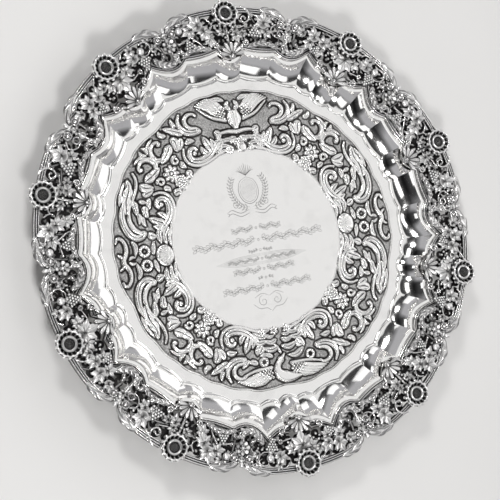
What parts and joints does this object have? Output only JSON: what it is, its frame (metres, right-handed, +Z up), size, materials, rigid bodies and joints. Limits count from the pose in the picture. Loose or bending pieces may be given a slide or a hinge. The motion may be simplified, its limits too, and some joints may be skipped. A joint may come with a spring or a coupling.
{
  "type": "salver",
  "caption": "Large round silver salver with a shallow panelled well, an openwork vine border with applied flowers and shells, and scroll feet.",
  "frame": {"origin": "centre of the plane that the four feet stand on", "axes": "+Z up, out of the well; +Y towards the border flower at the head of the well's ornament; +X towards the right-hand side"},
  "size_m": [0.5796, 0.601, 0.0562],
  "materials": {
    "sheet": "bright hand-polished silver with a matted, chased band",
    "moulding": "polished silver",
    "cast_border": "cast and chased silver, polished on its high points and dark in its recesses",
    "vine": "cast silver with a matted ground and bright ribs",
    "flowers": "cast silver, bright petals and a stippled heart",
    "shells": "cast silver, bright ribs",
    "feet": "cast silver, worn bright where it stands"
  },
  "bodies": {
    "root": {"plate": "sheet", "rim_moulding": "moulding", "border_section_01": "cast_border", "border_section_02": "cast_border", "border_section_03": "cast_border", "border_section_04": "cast_border", "border_section_05": "cast_border", "border_section_06": "cast_border", "border_section_07": "cast_border", "border_section_08": "cast_border", "border_section_09": "cast_border", "border_section_10": "cast_border", "vine_spray_01": "vine", "vine_spray_02": "vine", "vine_spray_03": "vine", "vine_spray_04": "vine", "vine_spray_05": "vine", "vine_spray_06": "vine", "vine_spray_07": "vine", "vine_spray_08": "vine", "vine_spray_09": "vine", "vine_spray_10": "vine", "daisy_01": "flowers", "daisy_02": "flowers", "daisy_03": "flowers", "daisy_04": "flowers", "daisy_05": "flowers", "daisy_06": "flowers", "daisy_07": "flowers", "daisy_08": "flowers", "daisy_09": "flowers", "daisy_10": "flowers", "rim_shell_01": "shells", "rim_shell_02": "shells", "rim_shell_03": "shells", "rim_shell_04": "shells", "rim_shell_05": "shells", "rim_shell_06": "shells", "rim_shell_07": "shells", "rim_shell_08": "shells", "rim_shell_09": "shells", "rim_shell_10": "shells", "joint_buds": "cast_border", "foot_01": "feet", "foot_02": "feet", "foot_03": "feet", "foot_04": "feet", "foot_leaf_01": "feet", "foot_leaf_02": "feet", "foot_leaf_03": "feet", "foot_leaf_04": "feet"}
  },
  "joints": []
}
